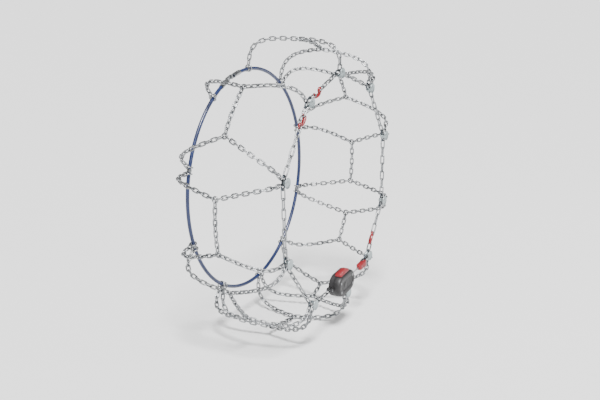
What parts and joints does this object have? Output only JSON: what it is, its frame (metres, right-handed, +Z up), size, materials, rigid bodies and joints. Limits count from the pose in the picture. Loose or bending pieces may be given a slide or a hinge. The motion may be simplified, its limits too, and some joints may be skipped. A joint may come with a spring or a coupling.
{
  "type": "tire snow chains",
  "caption": "Snow chain net for one car tyre: link chains in meshes over the tread, outer side chain with rings and discs, sprung inner hoop, red hooks and a cord tensioner",
  "frame": {"origin": "centre of the wheel that the net fits, on its axle", "axes": "+Y along the axle towards the vehicle, -Y the outer face of the wheel, +Z up, +X across"},
  "size_m": [0.6527, 0.2552, 0.6514],
  "materials": {
    "zinc": "bright zinc plating",
    "dark_steel": "darker galvanised steel wire",
    "disc_steel": "pale stamped steel",
    "red_paint": "red coated forged hook",
    "red_plastic": "red moulded plastic",
    "case_plastic": "charcoal moulded plastic",
    "reel_plastic": "black moulded plastic",
    "cord": "thin stranded steel cord",
    "spring_steel": "spring steel strip",
    "blue_sheath": "dark blue plastic sheath over spring steel"
  },
  "bodies": {
    "net": {"cross_chain_01": "zinc", "cross_chain_02": "zinc", "cross_chain_03": "zinc", "cross_chain_04": "zinc", "cross_chain_05": "zinc", "cross_chain_06": "zinc", "cross_chain_07": "zinc", "cross_chain_08": "zinc", "cross_chain_09": "zinc", "cross_chain_10": "zinc", "tread_chain_01": "zinc", "tread_chain_02": "zinc", "tread_chain_03": "zinc", "tread_chain_04": "zinc", "tread_chain_05": "zinc", "tread_chain_06": "zinc", "tread_chain_07": "zinc", "tread_chain_08": "zinc", "tread_chain_09": "zinc", "junction_rings": "zinc", "side_rings": "dark_steel", "side_chain_front": "zinc", "side_chain_rear": "zinc", "side_chain_tensioner": "zinc", "end_links": "zinc", "hoop": "blue_sheath", "hoop_sleeves": "zinc", "hoop_rings": "zinc", "hoop_ferrules": "zinc", "case_base": "case_plastic", "case_cover": "case_plastic", "cover_screws": "zinc", "anchor_pin": "zinc", "reel_axle": "zinc", "mainspring": "spring_steel", "pawl_pin": "zinc", "pawl_spring": "spring_steel"},
    "bumper_disc_01": {"bumper_disc_01": "disc_steel"},
    "bumper_disc_02": {"bumper_disc_02": "disc_steel"},
    "bumper_disc_03": {"bumper_disc_03": "disc_steel"},
    "bumper_disc_04": {"bumper_disc_04": "disc_steel"},
    "bumper_disc_05": {"bumper_disc_05": "disc_steel"},
    "bumper_disc_06": {"bumper_disc_06": "disc_steel"},
    "bumper_disc_07": {"bumper_disc_07": "disc_steel"},
    "bumper_disc_08": {"bumper_disc_08": "disc_steel"},
    "bumper_disc_09": {"bumper_disc_09": "disc_steel"},
    "bumper_disc_10": {"bumper_disc_10": "disc_steel"},
    "closing_hook": {"closing_hook": "red_paint"},
    "slack_hook": {"slack_hook": "red_paint"},
    "front_hook": {"front_hook": "red_paint"},
    "clasp": {"hoop_clasp": "zinc"},
    "tension_end": {"tension_cord": "cord", "pull_block": "red_plastic", "tension_hook": "dark_steel"},
    "reel": {"reel": "reel_plastic", "reel_cord": "cord", "ratchet_wheel": "zinc"},
    "lock": {"lock_slide": "red_plastic"},
    "pawl": {"pawl": "zinc"}
  },
  "joints": [
    {"name": "disc_swing_01", "type": "hinge", "parent": "net", "child": "bumper_disc_01", "pos_m": [0, -0.114, 0.2515], "axis": [-1, 0, 0], "range_deg": [-8, 8]},
    {"name": "disc_swing_02", "type": "hinge", "parent": "net", "child": "bumper_disc_02", "pos_m": [0.15484, -0.114, 0.19819], "axis": [-0.788, 0, 0.6157], "range_deg": [-8, 8]},
    {"name": "disc_swing_03", "type": "hinge", "parent": "net", "child": "bumper_disc_03", "pos_m": [0.23986, -0.114, 0.07563], "axis": [-0.3007, 0, 0.9537], "range_deg": [-8, 8]},
    {"name": "disc_swing_04", "type": "hinge", "parent": "net", "child": "bumper_disc_04", "pos_m": [0.23836, -0.114, -0.08022], "axis": [0.319, 0, 0.9478], "range_deg": [-8, 8]},
    {"name": "disc_swing_05", "type": "hinge", "parent": "net", "child": "bumper_disc_05", "pos_m": [0.15997, -0.114, -0.19406], "axis": [0.7716, 0, 0.6361], "range_deg": [-8, 8]},
    {"name": "disc_swing_06", "type": "hinge", "parent": "net", "child": "bumper_disc_06", "pos_m": [0.04583, -0.114, -0.24729], "axis": [0.9833, 0, 0.1822], "range_deg": [-8, 8]},
    {"name": "disc_swing_07", "type": "hinge", "parent": "net", "child": "bumper_disc_07", "pos_m": [-0.12001, -0.114, -0.22102], "axis": [0.8788, 0, -0.4772], "range_deg": [-8, 8]},
    {"name": "disc_swing_08", "type": "hinge", "parent": "net", "child": "bumper_disc_08", "pos_m": [-0.23151, -0.114, -0.09827], "axis": [0.3907, 0, -0.9205], "range_deg": [-8, 8]},
    {"name": "disc_swing_09", "type": "hinge", "parent": "net", "child": "bumper_disc_09", "pos_m": [-0.24176, -0.114, 0.06932], "axis": [-0.2756, 0, -0.9613], "range_deg": [-8, 8]},
    {"name": "disc_swing_10", "type": "hinge", "parent": "net", "child": "bumper_disc_10", "pos_m": [-0.13881, -0.114, 0.20972], "axis": [-0.8339, 0, -0.5519], "range_deg": [-8, 8]},
    {"name": "closing_hook_swing", "type": "hinge", "parent": "net", "child": "closing_hook", "pos_m": [-0.09041, -0.114, 0.23256], "axis": [0, -1, 0], "range_deg": [0, 35]},
    {"name": "slack_hook_swing", "type": "hinge", "parent": "net", "child": "slack_hook", "pos_m": [-0.17654, -0.114, 0.17238], "axis": [0, 1, 0], "range_deg": [0, 35]},
    {"name": "front_hook_swing", "type": "hinge", "parent": "net", "child": "front_hook", "pos_m": [0.19649, -0.114, -0.15482], "axis": [0, 1, 0], "range_deg": [0, 35]},
    {"name": "clasp_swing", "type": "hinge", "parent": "net", "child": "clasp", "pos_m": [-0.0646, 0.112, 0.24164], "axis": [0, 1, 0], "range_deg": [0, 80]},
    {"name": "cord_slack", "type": "slide", "parent": "net", "child": "tension_end", "axis": [0.9954, 0, 0.0958], "range_m": [0, 0.008], "stiffness_N_per_m": 400, "springref_m": -0.03},
    {"name": "reel_turn", "type": "hinge", "parent": "net", "child": "reel", "pos_m": [0.00771, -0.122, -0.227], "axis": [0, 1, 0], "range_deg": [-0.5, 54.5]},
    {"name": "lock_travel", "type": "slide", "parent": "net", "child": "lock", "axis": [-0.9954, 0, -0.0958], "range_m": [0, 0.005]},
    {"name": "pawl_turn", "type": "hinge", "parent": "net", "child": "pawl", "pos_m": [0.02814, -0.1268, -0.22186], "axis": [0, -1, 0], "range_deg": [-0.2, 8.6]}
  ],
  "couplings": [
    {"joint": "reel_turn", "follows": "cord_slack", "rad_per_m": 117.81},
    {"joint": "pawl_turn", "follows": "lock_travel", "rad_per_m": 29.3}
  ]
}
